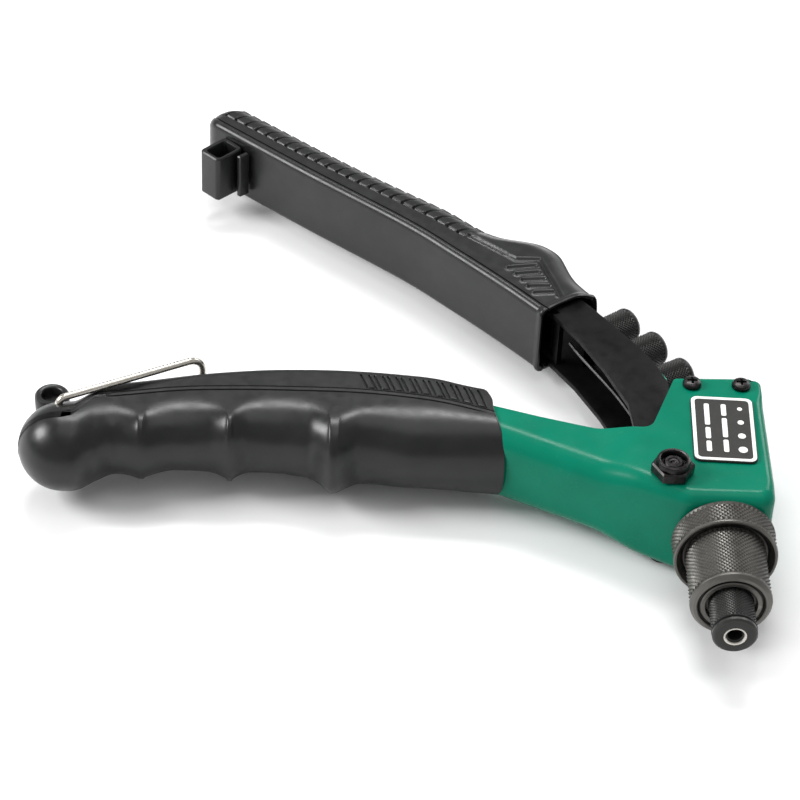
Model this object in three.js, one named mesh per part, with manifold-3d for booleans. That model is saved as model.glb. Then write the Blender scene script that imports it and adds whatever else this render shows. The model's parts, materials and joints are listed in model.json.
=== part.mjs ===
// Hand riveter: a squeeze-handled tool that sets blind rivets, lying on its side.
// Millimetres. +Z is the lever's pivot axis, the nose points along -Y and the handles run to -X.
// Every shape below is drawn about the tool's own datum: x = 0 on the nose axis, y = 0 on the
// front face of the head, z = 0 on the middle plane. The last lines move the whole tool so that
// its origin is the middle of its footprint.
import * as THREE from 'three';
import { mergeVertices } from 'three/addons/utils/BufferGeometryUtils.js';
import Module from 'manifold-3d';

const wasm = await Module();
wasm.setup();

// ---------------------------------------------------------------- driving dimensions
const GAP = 0.3;                    // running and seating gap between neighbouring pieces

const HEAD = { right: 13.6, left: -11.3, rear: 53, half: 15.2 };   // steel head, half its thickness
const HANDLE_HALF = 13;             // half thickness of the green handle
const TANG_HALF = 3;                // half thickness of the flat tang inside the fixed grip
const WALL = 1.8;                   // sheet thickness of head and handle
const FRONT_SLOPE = -0.493;         // the front wall runs diagonally from head to grip
const FRONT_START = new THREE.Vector2(-14, 1.2);

const PIVOT = new THREE.Vector2(-15.5, 10.5);
const BOLT = { radius: 3, low: -17.2, high: 19.5 };
const NUT = { flats: 11, low: 15.3, high: 18.9, collar: 4.7, top: 20.2 };

const FLANGE = { inner: 8.6, outer: 10.3 };    // z of the lever plates
const OPEN_ANGLE = THREE.MathUtils.degToRad(-8);   // fork direction with the lever open
const TRUNNION_RADIUS = 2;
const TRUNNION_Y = PIVOT.y - PIVOT.x * Math.tan(OPEN_ANGLE);

const COLLAR = { radius: 15, bore: 10.1, back: -0.2, front: -9.3, recess: 12.2, recessDepth: 2 };
const SLEEVE = { radius: 11.6, neck: 9.7, bore: 8.5, front: -27.4, shoulder: -7.6, tail: 3.6 };
const NOSE = { radius: 6.25, front: -40.3, thread: 4.7, bore: 2 };
const CASE = { radius: 8.1, front: -22.6, back: 0.6 };

const LEVER_GRIP_HALF = 12;
const SPARE = { radius: 5.4, length: 11.6 };
const BAIL = {
  wire: 0.8,
  half: 13.6,
  foot: 5,                          // length of each wire end that is turned into the grip
  bendRadius: 2.6,
  hinge: new THREE.Vector2(-194.3, 36),
  corner: new THREE.Vector2(-153.2, 57.2),
};

// ---------------------------------------------------------------- finishes
const finish = (color, roughness, metalness) =>
  new THREE.MeshStandardMaterial({ color, roughness, metalness });
const GREEN_PAINT = finish(0x008a66, 0.35, 0.1);
const BLACK_PAINT = finish(0x17181a, 0.4, 0.2);
const BLACK_GRIP = finish(0x1b1c1d, 0.45, 0);
const BLACK_OXIDE = finish(0x2c2b2a, 0.5, 0.7);
const DARK_STEEL = finish(0x4a4a4b, 0.4, 0.9);
const BRIGHT_STEEL = finish(0xb9b4a8, 0.25, 1);
const LABEL_GREY = finish(0x3a3835, 0.5, 0);
const MINT_PLASTIC = finish(0x2fae88, 0.5, 0);
const BLACK_PLASTIC = finish(0x202122, 0.5, 0);

// ---------------------------------------------------------------- geometry helpers
const v2 = (x, y) => new THREE.Vector2(x, y);

// A closed mesh with shared vertices, no empty triangles, and faces pointing out.
function closed(geometry) {
  const bare = geometry.clone();
  bare.deleteAttribute('normal');
  bare.deleteAttribute('uv');
  const merged = mergeVertices(bare, 1e-4);
  const point = merged.attributes.position;
  const faces = [];
  let volume = 0;
  const [a, b, c] = [new THREE.Vector3(), new THREE.Vector3(), new THREE.Vector3()];
  for (let i = 0; i < merged.index.count; i += 3) {
    const face = [0, 1, 2].map((k) => merged.index.getX(i + k));
    if (new Set(face).size < 3) continue;
    a.fromBufferAttribute(point, face[0]);
    b.fromBufferAttribute(point, face[1]);
    c.fromBufferAttribute(point, face[2]);
    volume += a.dot(b.clone().cross(c));
    faces.push(face);
  }
  merged.setIndex(faces.flatMap(([p, q, r]) => (volume < 0 ? [p, r, q] : [p, q, r])));
  return merged;
}

function toManifold(geometry) {
  const mesh = closed(geometry);
  return new wasm.Manifold(new wasm.Mesh({
    numProp: 3,
    vertProperties: new Float32Array(mesh.attributes.position.array),
    triVerts: new Uint32Array(mesh.index.array),
  }));
}

function fromManifold(solid) {
  const mesh = solid.getMesh();
  const geometry = new THREE.BufferGeometry();
  geometry.setAttribute('position', new THREE.BufferAttribute(new Float32Array(mesh.vertProperties), 3));
  geometry.setIndex(new THREE.BufferAttribute(new Uint32Array(mesh.triVerts), 1));
  return geometry;
}

const join = (...parts) => fromManifold(parts.map(toManifold).reduce((all, next) => all.add(next)));
const cut = (body, ...tools) =>
  fromManifold(tools.map(toManifold).reduce((left, tool) => left.subtract(tool), toManifold(body)));

// A plate: a plan outline pulled up from z = low to z = high.
function plate(points, low, high) {
  const shape = new THREE.Shape(points);
  const geometry = new THREE.ExtrudeGeometry(shape, { depth: high - low, bevelEnabled: false });
  return geometry.translate(0, 0, low);
}

// A round piece turned about the nose axis; the profile lists (radius, y).
const turned = (profile, segments = 28) =>
  new THREE.LatheGeometry(profile.map(([radius, y]) => v2(radius, y)), segments);

// A round piece turned about a vertical axis through centre; the profile lists (radius, z).
function turnedUpright(profile, centre, segments = 24) {
  const geometry = new THREE.LatheGeometry(profile.map(([radius, z]) => v2(radius, z)), segments);
  return geometry.rotateX(Math.PI / 2).translate(centre.x, centre.y, 0);
}

const ring = (inner, outer, low, high) =>
  [[inner, low], [outer, low], [outer, high], [inner, high], [inner, low]];
const rod = (radius, low, high) => [[0, low], [radius, low], [radius, high], [0, high]];

// A bar of round section along a path.
const wire = (path, radius, steps, sides = 8) => new THREE.ExtrudeGeometry(
  new THREE.Shape(new THREE.Path().absarc(0, 0, radius, 0, 2 * Math.PI).getPoints(sides / 2).slice(0, -1)),
  { steps, extrudePath: path, bevelEnabled: false },
);

// A skin stretched over cross sections: section(t, angle) gives the point at station t (0 to 1).
function loft(section, steps, sides) {
  const geometry = new THREE.CylinderGeometry(1, 1, 1, sides, steps);
  const position = geometry.attributes.position;
  for (let i = 0; i < position.count; i += 1) {
    const [x, y, z] = [position.getX(i), position.getY(i), position.getZ(i)];
    const station = 0.5 - y;
    const angle = Number(Math.atan2(z, x).toFixed(6));      // both sides of the seam agree
    const point = Math.hypot(x, z) > 0.5
      ? section(station, angle)
      : section(station, 0).add(section(station, Math.PI)).multiplyScalar(0.5);
    position.setXYZ(i, point.x, point.y, point.z);
  }
  return geometry;
}

const along = (points) => new THREE.CatmullRomCurve3(points.map(([x, y]) => new THREE.Vector3(x, y, 0)));

// Turns the sine and cosine of a circle into those of a rounded rectangle; a power of 2 is a circle.
const squircle = (value, power) => Math.sign(value) * Math.abs(value) ** (2 / power);

// Smooth value between a few (place, value) stops.
function profileOf(stops) {
  return (place) => {
    const last = stops.length - 1;
    if (place <= stops[0][0]) return stops[0][1];
    if (place >= stops[last][0]) return stops[last][1];
    const k = stops.findIndex(([stop]) => stop > place) - 1;
    const [[p0, v0], [p1, v1]] = [stops[k], stops[k + 1]];
    return THREE.MathUtils.lerp(v0, v1, THREE.MathUtils.smoothstep(place, p0, p1));
  };
}

const riveter = new THREE.Group();

function add(name, geometry, material) {
  const mesh = new THREE.Mesh(closed(geometry), material);
  mesh.name = name;
  riveter.add(mesh);
  return mesh;
}

// ---------------------------------------------------------------- head and handle
const frontY = (x) => FRONT_START.y + FRONT_SLOPE * (x - FRONT_START.x);
const NECK = -24;                   // where the head becomes the handle
const rearEdge = new THREE.SplineCurve([v2(NECK, 30.2), v2(-36, 31.3), v2(-52.4, 35.9), v2(-66.4, 40.4)]);
const handleEnd = v2(-62.2, frontY(-62.2));
const tangLine = along([[-60, 33], [-76, 37.4], [-100, 41], [-128, 42.2], [-166, 37.6]]);
const TANG_WIDTH = 11;

// Both sides of a curve, offset by half a width each way, as one outline.
function band(curve, width, steps) {
  const left = [];
  const right = [];
  for (let i = 0; i <= steps; i += 1) {
    const point = curve.getPoint(i / steps);
    const tangent = curve.getTangent(i / steps);
    const side = v2(-tangent.y, tangent.x).multiplyScalar(width / 2);
    left.push(v2(point.x + side.x, point.y + side.y));
    right.unshift(v2(point.x - side.x, point.y - side.y));
  }
  return [...left, ...right];
}

function headOutline() {
  const outline = new THREE.Shape();
  outline.moveTo(HEAD.right, 0);
  outline.lineTo(HEAD.right, HEAD.rear - 4);
  outline.quadraticCurveTo(HEAD.right, HEAD.rear, HEAD.right - 4, HEAD.rear);
  outline.lineTo(HEAD.left + 2.4, HEAD.rear);
  outline.quadraticCurveTo(HEAD.left, HEAD.rear, HEAD.left - 0.9, HEAD.rear - 2.2);
  outline.lineTo(-18.7, 34.2);
  outline.quadraticCurveTo(-20.2, 30.4, NECK, 30.2);
  outline.lineTo(NECK, frontY(NECK));
  outline.lineTo(FRONT_START.x, FRONT_START.y);
  outline.lineTo(-11.5, 0);
  return outline.getPoints(5);
}

// The metal to remove so that the long outer edge from one plan point to another, on the cheek at
// z = half (side 1) or z = -half (side -1), becomes a rounded bend. It runs 6 mm past both points.
function bend(from, to, radius, half, side) {
  const length = from.distanceTo(to) + 12;
  const outline = new THREE.Shape();
  outline.moveTo(radius + 1, 1);
  outline.lineTo(-1, 1);
  outline.lineTo(-1, -radius - 1);
  outline.lineTo(0, -radius);
  outline.absarc(radius, -radius, radius, Math.PI, Math.PI / 2, true);
  const strip = plate(outline.getPoints(4), -6, length - 6);
  const run = new THREE.Vector3(to.x - from.x, to.y - from.y, 0).normalize();
  const up = new THREE.Vector3(0, 0, side);
  const inward = new THREE.Vector3(-run.y, run.x, 0);
  strip.applyMatrix4(new THREE.Matrix4().makeBasis(inward, up, run));
  return strip.translate(from.x, from.y, side * half);
}

function bodyShell() {
  const lap = NECK + 1;             // handle and head share this much metal
  const handle = [v2(lap, 30.2), ...rearEdge.getPoints(8), handleEnd, v2(lap, frontY(lap))];
  const solid = join(
    plate(headOutline(), -HEAD.half, HEAD.half),
    plate(handle, -HANDLE_HALF, HANDLE_HALF),
    plate(band(tangLine, TANG_WIDTH, 10), -TANG_HALF, TANG_HALF),
  );
  const inside = (x) => frontY(x) + WALL / Math.cos(Math.atan(FRONT_SLOPE));
  const step = NECK + WALL;         // the wall where the head's cheeks step down to the handle's
  const headHollow = [
    v2(HEAD.right - WALL, WALL), v2(HEAD.right - WALL, 70), v2(step, 70),
    v2(step, inside(step)), v2(FRONT_START.x, inside(FRONT_START.x)), v2(-11.5, WALL),
  ];
  const handleHollow = [
    v2(step + 1, 70), v2(-58.5, 70), v2(-58.5, inside(-58.5)), v2(step + 1, inside(step + 1)),
  ];
  return cut(
    solid,
    plate(headHollow, WALL - HEAD.half, HEAD.half - WALL),
    plate(handleHollow, WALL - HANDLE_HALF, HANDLE_HALF - WALL),
    turned(rod(COLLAR.bore, -2, 4)),
    turnedUpright(rod(BOLT.radius + GAP, -20, 20), PIVOT),
    ...[1, -1].flatMap((side) => [
      bend(handleEnd, v2(NECK - 6, frontY(NECK - 6)), 7, HANDLE_HALF, side),
      bend(v2(NECK + 5, frontY(NECK + 5)), FRONT_START, 4, HEAD.half, side),
      bend(v2(-8, 0), v2(HEAD.right, 0), 3, HEAD.half, side),
      bend(v2(HEAD.right, 6), v2(HEAD.right, HEAD.rear), 2, HEAD.half, side),
    ]),
    ...coverScrewPlaces.map(([x, y]) => turnedUpright(rod(1.8, -20, 20), v2(x, y), 16)),
  );
}
const coverScrewPlaces = [[-7.3, 49.3], [7.3, 49.3]];

function labelPlate() {
  const [width, length, corner] = [18.6, 28.8, 2.2];
  const outline = new THREE.Shape();
  outline.absarc(width / 2 - corner, length / 2 - corner, corner, 0, Math.PI / 2);
  outline.absarc(corner - width / 2, length / 2 - corner, corner, Math.PI / 2, Math.PI);
  outline.absarc(corner - width / 2, corner - length / 2, corner, Math.PI, 1.5 * Math.PI);
  outline.absarc(width / 2 - corner, corner - length / 2, corner, 1.5 * Math.PI, 2 * Math.PI);
  return plate(outline.getPoints(4), 0, 0.6);
}

function pivotNut() {
  const { flats, low, high, collar, top } = NUT;
  const across = flats / Math.sqrt(3);
  const hexagon = Array.from({ length: 6 }, (_, k) => {
    const angle = (k * Math.PI) / 3;
    return v2(PIVOT.x + across * Math.cos(angle), PIVOT.y + across * Math.sin(angle));
  });
  const blank = join(plate(hexagon, low, high), turnedUpright(rod(collar, high - 0.5, top), PIVOT));
  return cut(blank, turnedUpright(rod(BOLT.radius + GAP, low - 1, top + 1), PIVOT));
}

// Pan-head screw pointing down into the rear cover; turned over for the lower side.
function coverScrew([x, y], side) {
  const under = HEAD.half + 0.05;
  const profile = [
    [0, 6], [1.5, 6], [1.5, under], [2.85, under], [2.85, under + 0.9], [2.2, under + 1.6],
    [0, under + 1.9],
  ];
  return turnedUpright(profile.map(([radius, z]) => [radius, side * z]), v2(x, y), 20);
}

function rearCover() {
  const outline = [v2(-10.6, 45.4), v2(11.5, 45.4), v2(11.5, 52.4), v2(-10.6, 52.4)];
  return cut(
    plate(outline, -13.1, 13.1),
    turned(rod(4.3, 40, 60)),
    ...coverScrewPlaces.map(([x, y]) => turnedUpright(rod(1.8, 5.7, 20), v2(x, y), 16)),
    ...coverScrewPlaces.map(([x, y]) => turnedUpright(rod(1.8, -20, -5.7), v2(x, y), 16)),
  );
}

add('body_shell', bodyShell(), GREEN_PAINT);
const label = add('label_plate', labelPlate(), LABEL_GREY);
label.position.set(0.8, 29.6, HEAD.half + 0.05);
label.rotation.z = THREE.MathUtils.degToRad(-1.7);
add('rear_cover', rearCover(), BLACK_PLASTIC);
coverScrewPlaces.forEach((place, k) => {
  add(`cover_screw_upper_${k + 1}`, coverScrew(place, 1), BLACK_OXIDE);
  add(`cover_screw_lower_${k + 1}`, coverScrew(place, -1), BLACK_OXIDE);
});
add('pivot_bolt', turnedUpright([
  [0, BOLT.low], [5.2, BOLT.low], [6, -16.6], [6, -15.25], [BOLT.radius, -15.25],
  [BOLT.radius, BOLT.high], [0, BOLT.high],
], PIVOT), BLACK_OXIDE);
add('pivot_nut', pivotNut(), BLACK_OXIDE);
add('pivot_washer_upper', turnedUpright(ring(BOLT.radius + GAP, 5.4, 10.6, 13.1), PIVOT), BRIGHT_STEEL);
add('pivot_washer_lower', turnedUpright(ring(BOLT.radius + GAP, 5.4, -13.1, -10.6), PIVOT), BRIGHT_STEEL);
add('mandrel_tube', turned(ring(3.1, 3.9, 36, 52.2), 24), BRIGHT_STEEL);

// ---------------------------------------------------------------- nose
function collarRing() {
  const { radius, bore, back, front, recess, recessDepth } = COLLAR;
  const floor = front + recessDepth;
  return turned([
    [bore, back], [radius - 0.6, back], [radius, back - 0.6], [radius, front + 0.7], [radius - 0.9, front],
    [recess + 0.3, front], [recess, front + 0.4], [recess, floor], [bore, floor], [bore, back],
  ], 32);
}

function frontSleeve() {
  const { radius, neck, bore, front, shoulder, tail } = SLEEVE;
  const threadBore = NOSE.thread + GAP;
  const face = front + 3.6;
  return turned([
    [threadBore, front], [radius - 1.6, front], [radius, front + 1.4], [radius, shoulder], [neck, shoulder],
    [neck, tail], [bore, tail], [bore, face], [threadBore, face], [threadBore, front],
  ], 32);
}

// A knurled nosepiece about its own axis: rim at y = 0, thread pointing to +y.
function nosepiece({ radius, length, thread, threadLength, bore }) {
  return turned([
    [bore, 0.7], [bore + 0.8, 0], [radius - 1.5, 0], [radius, 1], [radius, length - 0.4],
    [radius - 0.4, length], [thread, length], [thread, length + threadLength],
    [bore, length + threadLength], [bore, 0.7],
  ], 32);
}

add('nose_nut_plate', cut(
  plate([v2(-11.4, 2.1), v2(11.5, 2.1), v2(11.5, 3.35), v2(-11.4, 3.35)], -13.1, 13.1),
  turned(rod(COLLAR.bore, 1, 5)),
), DARK_STEEL);
add('collar_ring', collarRing(), BLACK_OXIDE);
add('front_sleeve', frontSleeve(), BLACK_OXIDE);
add('nosepiece', nosepiece({
  radius: NOSE.radius,
  length: SLEEVE.front - NOSE.front - 0.2,
  thread: NOSE.thread,
  threadLength: 4.2,
  bore: NOSE.bore,
}).translate(0, NOSE.front, 0), BLACK_OXIDE);

// ---------------------------------------------------------------- jaw carriage
const JAW = { front: -22, back: -13.6, bore: 1.6, frontRadius: 4.4, slope: 0.146 };

function jawCase() {
  const { radius, front, back } = CASE;
  const coneEnd = front + 11;
  const mouth = JAW.frontRadius + 0.55;
  const wide = mouth + JAW.slope * 11;
  return turned([
    [mouth, front], [radius - 0.8, front], [radius, front + 0.8], [radius, back], [wide, back],
    [wide, coneEnd], [mouth, front],
  ], 28);
}

// One of three jaws: a third of a coned sleeve.
function jaw(index) {
  const { front, back, bore, frontRadius, slope } = JAW;
  const backRadius = frontRadius + slope * (back - front);
  const sector = (2 * Math.PI) / 3 - 0.14;
  const cone = turned([
    [bore, front], [frontRadius, front], [backRadius, back], [bore, back], [bore, front],
  ]);
  const wedge = [v2(0.4, 0)];
  for (let k = 0; k <= 6; k += 1) {
    const angle = -sector / 2 + (sector * k) / 6;
    wedge.push(v2(12 * Math.cos(angle), 12 * Math.sin(angle)));
  }
  const sectorBlock = plate(wedge, front - 1, back + 1).rotateX(Math.PI / 2).translate(0, front + back, 0);
  const piece = toManifold(cone).intersect(toManifold(sectorBlock));
  return fromManifold(piece).rotateY((index * 2 * Math.PI) / 3 + Math.PI / 6);
}

function pullRod() {
  const profile = [
    [2.4, -1.9], [6, -1.9], [6, 0.6], [5, 0.6], [5, TRUNNION_Y - 3.2], [7.4, TRUNNION_Y - 3.2],
    [7.4, TRUNNION_Y + 3.2], [5, TRUNNION_Y + 3.2], [5, 20], [2.4, 20], [2.4, -1.9],
  ];
  const pin = (low, high) => turnedUpright(rod(TRUNNION_RADIUS, low, high), v2(0, TRUNNION_Y), 20);
  return join(turned(profile), pin(6, 10.1), pin(-10.1, -6));
}

function coil(radius, wireRadius, low, high, turns, perTurn) {
  const points = [];
  for (let k = 0; k <= turns * perTurn; k += 1) {
    const angle = (2 * Math.PI * k) / perTurn;
    const y = THREE.MathUtils.lerp(low, high, k / (turns * perTurn));
    points.push(new THREE.Vector3(radius * Math.cos(angle), y, radius * Math.sin(angle)));
  }
  return wire(new THREE.CatmullRomCurve3(points), wireRadius, turns * perTurn, 6);
}

add('jaw_case', jawCase(), DARK_STEEL);
for (let k = 0; k < 3; k += 1) add(`jaw_${k + 1}`, jaw(k), DARK_STEEL);
add('jaw_pusher', turned([
  [2.2, -13.2], [3, -13.2], [5.2, -11.6], [5.2, -10.2], [3.4, -10.2], [3.4, -6.5], [2.2, -6.5],
  [2.2, -13.2],
], 24), BRIGHT_STEEL);
add('pusher_spring', coil(4.4, 0.5, -9.2, -2.8, 4, 12), BRIGHT_STEEL);
add('pull_rod', pullRod(), DARK_STEEL);
add('case_lock_ring', turned(ring(5.3, 7.6, 0.9, 3.4)), DARK_STEEL);

// ---------------------------------------------------------------- lever
const leverLine = along([
  [-41, 89.5], [-55.5, 107.2], [-72, 122.8], [-88.6, 137.7], [-121.9, 164.1], [-141, 179.4],
]);
const LEVER_TANG = 8.5;

function leverOutline() {
  const forkPoint = (reach, side) => v2(
    PIVOT.x + reach * Math.cos(OPEN_ANGLE) - side * Math.sin(OPEN_ANGLE),
    PIVOT.y + reach * Math.sin(OPEN_ANGLE) + side * Math.cos(OPEN_ANGLE),
  );
  const hub = [];
  for (let k = 0; k <= 8; k += 1) {
    const angle = Math.PI * (1.47 - (0.45 * k) / 8);
    hub.push(v2(PIVOT.x + 5.5 * Math.cos(angle), PIVOT.y + 5.5 * Math.sin(angle)));
  }
  return [
    v2(-34.6, 92.6), v2(-28.4, 84.2), v2(-20.8, 73.5), v2(-16.4, 65.8), v2(-13.2, 57.5), v2(-12.4, 46),
    v2(-8, 27), v2(-2, 15.6), forkPoint(19, 4.25), forkPoint(19, -4.25), forkPoint(8, -4.25), ...hub,
    v2(-24.3, 22), v2(-24.6, 36), v2(-25.6, 46.4), v2(-32, 62.4), v2(-39, 76.4), v2(-46.6, 88.2),
  ];
}

function leverChannel() {
  const outline = leverOutline();
  const webEnd = 56;
  const outerEdge = outline.slice(0, 5);
  const shift = v2(-1.45, -0.9);
  const inner = [
    ...outerEdge.map((p) => p.clone().add(shift)),
    v2(-13.2, webEnd), v2(10, webEnd), v2(14, -6), v2(-30, -6), v2(-60, 60), v2(-60, 100), v2(-42, 100),
  ];
  const tangBand = band(leverLine, LEVER_TANG, 12);
  const tangHollow = band(leverLine, LEVER_TANG, 12).map((p) => p.clone().add(v2(-1.5, -1.2)));
  const slot = plate([v2(12.6, -2.4), v2(24, -2.4), v2(24, 2.4), v2(12.6, 2.4)], -12, 12)
    .rotateZ(OPEN_ANGLE).translate(PIVOT.x, PIVOT.y, 0);
  const flanges = cut(
    plate(outline, -FLANGE.outer, FLANGE.outer),
    plate(inner, -FLANGE.inner, FLANGE.inner),
  );
  const tang = cut(
    plate(tangBand, -FLANGE.outer + 1.6, FLANGE.outer - 1.6),
    plate(tangHollow, -FLANGE.outer + 3.1, FLANGE.outer - 3.1),
  );
  const neck = [v2(-34.6, 92.6), v2(-37.6, 96.4), v2(-46.4, 91.6), v2(-43.6, 88.2), v2(-36, 86)];
  return cut(
    join(flanges, tang, plate(neck, -FLANGE.outer, FLANGE.outer)),
    slot,
    turnedUpright(rod(BOLT.radius + GAP, -20, 20), PIVOT),
  );
}

// Lever grip: its inner face is nearly flat, its outer side is round and carries a thumb rest.
const leverInner = along([
  [-50.3, 87.2], [-62.7, 100.7], [-78.1, 116.3], [-94, 131.4], [-126.9, 158.1], [-162.4, 188.2],
]);
const leverWidth = profileOf([
  [0, 21.6], [8, 22.8], [20, 28.6], [25, 28.4], [38, 21], [60, 18.8], [141, 16.4],
]);
const LEVER_LENGTH = leverInner.getLength();

function leverSection(t, angle) {
  const s = t * LEVER_LENGTH;
  const point = leverInner.getPointAt(Math.min(t, 1));
  const tangent = leverInner.getTangentAt(Math.min(t, 1));
  const outward = v2(tangent.y, -tangent.x);
  const endRadius = 7.5;
  const left = LEVER_LENGTH - s;
  const shrink = left < endRadius ? Math.sqrt(Math.max(0, 1 - ((endRadius - left) / endRadius) ** 2)) : 1;
  const full = leverWidth(s);
  const width = full * (0.15 + 0.85 * shrink);
  const half = LEVER_GRIP_HALF * (0.25 + 0.75 * shrink);
  const round = Math.cos(angle) > 0 ? 2.6 : 5;
  const u = full / 2 + (squircle(Math.cos(angle), round) * width) / 2;
  const place = outward.multiplyScalar(u);
  return new THREE.Vector3(point.x + place.x, point.y + place.y, half * squircle(Math.sin(angle), round));
}

function latchBlock() {
  const outline = [v2(-161, 172.4), v2(-154.6, 166.4), v2(-146.6, 174.2), v2(-152.9, 180.6)];
  return plate(outline, -8, 8.6);
}

function leverGrip() {
  const socket = plate(band(leverLine, LEVER_TANG + 2 * GAP, 12), -FLANGE.outer + 1.3, FLANGE.outer - 1.3);
  const mouth = [
    v2(-31, 86), v2(-34.1, 93.2), v2(-37.4, 97.2), v2(-47.2, 92.2), v2(-49.2, 88.8), v2(-46, 80),
  ];
  const hole = [v2(-158.6, 172.3), v2(-154.4, 168.2), v2(-148.7, 174), v2(-152.9, 178.1)];
  return cut(
    join(loft(leverSection, 34, 16), latchBlock()),
    socket,
    plate(mouth, -FLANGE.outer - GAP, FLANGE.outer + GAP),
    plate(hole, -9, 9),
  );
}

// Places of the three spare nosepieces on the outer side of the lever's web.
const spareFoot = [v2(-32.3, 89.6), v2(-24.6, 78.9), v2(-17.3, 66.9)];
const spareAngle = [37, 34, 31].map(THREE.MathUtils.degToRad);
const HOLDER = { thickness: 1.6, back: 0.35, half: 7.2 };

function holderStrip() {
  const curve = along([[-29.4, 85.9], [-24.6, 78.9], [-20.6, 73.1], [-17.3, 67.3], [-14.4, 61.2]]);
  const middle = HOLDER.back + HOLDER.thickness / 2;
  const strip = band(curve, HOLDER.thickness, 8).map((p) => v2(p.x + middle * 0.83, p.y + middle * 0.55));
  const holes = spareFoot.slice(1).map((foot, k) => turned(rod(4.1, -6, 8), 20)
    .rotateZ(spareAngle[k + 1] - Math.PI / 2).translate(foot.x, foot.y, 0));
  return cut(plate(strip, -HOLDER.half, HOLDER.half), ...holes);
}

function spareNosepiece(index) {
  const body = nosepiece({
    radius: SPARE.radius, length: SPARE.length, thread: 3.7, threadLength: 1.7, bore: 1.5 + 0.2 * index,
  });
  const reach = SPARE.length + HOLDER.back + HOLDER.thickness + 2 * GAP;
  const angle = spareAngle[index];
  const foot = spareFoot[index];
  return body.rotateZ(angle + Math.PI / 2)
    .translate(foot.x + reach * Math.cos(angle), foot.y + reach * Math.sin(angle), 0);
}

// Torsion spring round the pivot bush; its long leg lies along the inside of the channel.
function returnSpring() {
  const [radius, turns, perTurn, pitch] = [5.25, 4, 16, 2.1];
  const points = [];
  for (let k = 0; k <= turns * perTurn + 4; k += 1) {
    const angle = -0.5 * Math.PI + (2 * Math.PI * k) / perTurn;
    const [x, y] = [radius * Math.cos(angle), radius * Math.sin(angle)];
    points.push(new THREE.Vector3(PIVOT.x + x, PIVOT.y + y, -4.4 + (pitch * k) / perTurn));
  }
  const leg = [[-13.4, 20, 4.8], [-22, 42, 4.8], [-28.2, 57, 4.8], [-36.8, 75.2, 4.8], [-39.6, 81.8, 4.8]];
  const path = [...points, ...leg.map((place) => new THREE.Vector3(...place))];
  return wire(new THREE.CatmullRomCurve3(path), 0.6, 84, 6);
}

add('lever_channel', leverChannel(), BLACK_PAINT);
add('lever_grip', leverGrip(), BLACK_GRIP);
add('holder_strip', holderStrip(), MINT_PLASTIC);
for (let k = 0; k < 3; k += 1) add(`spare_nosepiece_${k + 1}`, spareNosepiece(k), BLACK_OXIDE);
add('pivot_bush', turnedUpright(ring(BOLT.radius + GAP, 4.5, -8.3, 8.3), PIVOT), BRIGHT_STEEL);
add('return_spring', returnSpring(), BRIGHT_STEEL);

// ---------------------------------------------------------------- fixed grip
// Stations run from the mouth (x = -62) to the bulb; front and back are the plan edges there.
const gripBack = profileOf([
  [62, 51], [72, 54.2], [95, 57.6], [128, 59.2], [150, 56.8], [170, 52.6], [190, 46], [206, 36],
]);
const gripFront = profileOf([
  [62, 24.2], [90, 24.2], [107, 27.4], [113, 22.4], [120, 27.6], [129, 27.6], [138, 28.6], [143.6, 26.8],
  [149, 27.9], [159, 27.4], [167, 24.4], [174, 25.6], [181, 24.2], [190, 17.8], [206, 26],
]);
const gripHalf = profileOf([[62, 13.4], [110, 13.4], [150, 12], [176, 11.7], [190, 13.2]]);
const GRIP = { mouth: 62.5, tip: 206 };
const BULB = { radius: 13.2, y: 30.8 };
const LANYARD_EYE = v2(-197.8, 49.8);

function fixedSection(t, angle) {
  const s = GRIP.mouth + t * (GRIP.tip - GRIP.mouth);
  const beyond = Math.max(0, s - (GRIP.tip - BULB.radius)) / BULB.radius;
  const round = BULB.radius * Math.sqrt(Math.max(0.0025, 1 - beyond ** 2));
  const [back, front] = beyond > 0 ? [BULB.y + round, BULB.y - round] : [gripBack(s), gripFront(s)];
  const half = beyond > 0 ? round : gripHalf(s);
  const blend = THREE.MathUtils.smoothstep(s, 172, 192);
  const power = THREE.MathUtils.lerp(Math.cos(angle) > 0 ? 3.6 : 3, 2, blend);
  return new THREE.Vector3(
    -s,
    (back + front) / 2 + (squircle(Math.cos(angle), power) * (back - front)) / 2,
    half * squircle(Math.sin(angle), power),
  );
}

function fixedGrip() {
  const socket = band(tangLine, TANG_WIDTH + 2 * GAP, 10);
  const eye = turnedUpright(rod(5.2, -4, 4), LANYARD_EYE, 24);
  const neck = [v2(-190, 38), v2(-190, 46), v2(-195, 48), v2(-200, 38)];
  const endSlope = [
    v2(-50, 10), v2(-50, 70), v2(-73, 62), v2(-70.9, 53), v2(-66.8, 41), v2(-62.5, 25), v2(-62.3, 10),
  ];
  return cut(
    join(loft(fixedSection, 50, 18), eye, plate(neck, -4, 4)),
    plate(socket, -TANG_HALF - GAP, TANG_HALF + GAP),
    plate(endSlope, -20, 20),
    turnedUpright(rod(3.1, -5, 5), LANYARD_EYE, 20),
    turnedUpright(rod(1.4, 7.4, 20), BAIL.hinge, 12),
    turnedUpright(rod(1.4, -20, -7.4), BAIL.hinge, 12),
  );
}

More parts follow.
